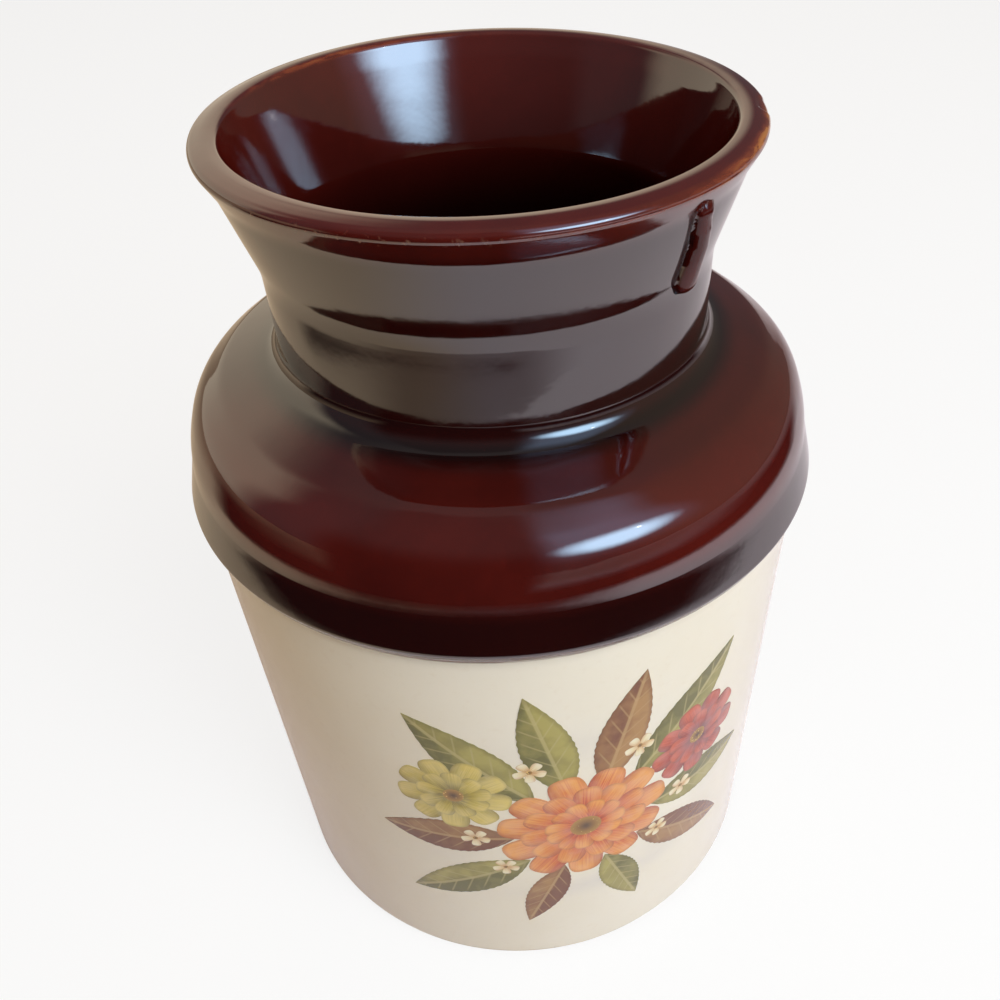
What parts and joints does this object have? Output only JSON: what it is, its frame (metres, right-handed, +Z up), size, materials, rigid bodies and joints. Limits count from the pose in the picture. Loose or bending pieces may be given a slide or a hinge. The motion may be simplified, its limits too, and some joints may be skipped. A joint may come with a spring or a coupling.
{
  "type": "cookie jar",
  "caption": "Open milk-can shaped stoneware jar with a flared mouth, a domed brown-glazed shoulder and a straight cream wall with a flower print; holds dry food.",
  "frame": {"origin": "on the table, under the middle of the foot ring", "axes": "+Z up along the jar's axis, -Y out of the front, through the middle of the print"},
  "size_m": [0.1708, 0.1708, 0.2417],
  "materials": {
    "stoneware": "bare fired clay, fine grained and dull",
    "brown_glaze": "deep glossy chestnut, amber where it thins on the lip",
    "lining_glaze": "deep glossy chestnut, a little darker than outside",
    "cream_glaze": "glossy warm ivory with fine specks",
    "print": "fired-on transfer in orange, red, yellow and olive, level with the glaze"
  },
  "bodies": {
    "root": {"stoneware_body": "stoneware", "brown_top_glaze": "brown_glaze", "brown_lining_glaze": "lining_glaze", "cream_body_glaze": "cream_glaze", "base_glaze": "cream_glaze", "transfer_print": "print"}
  },
  "joints": []
}
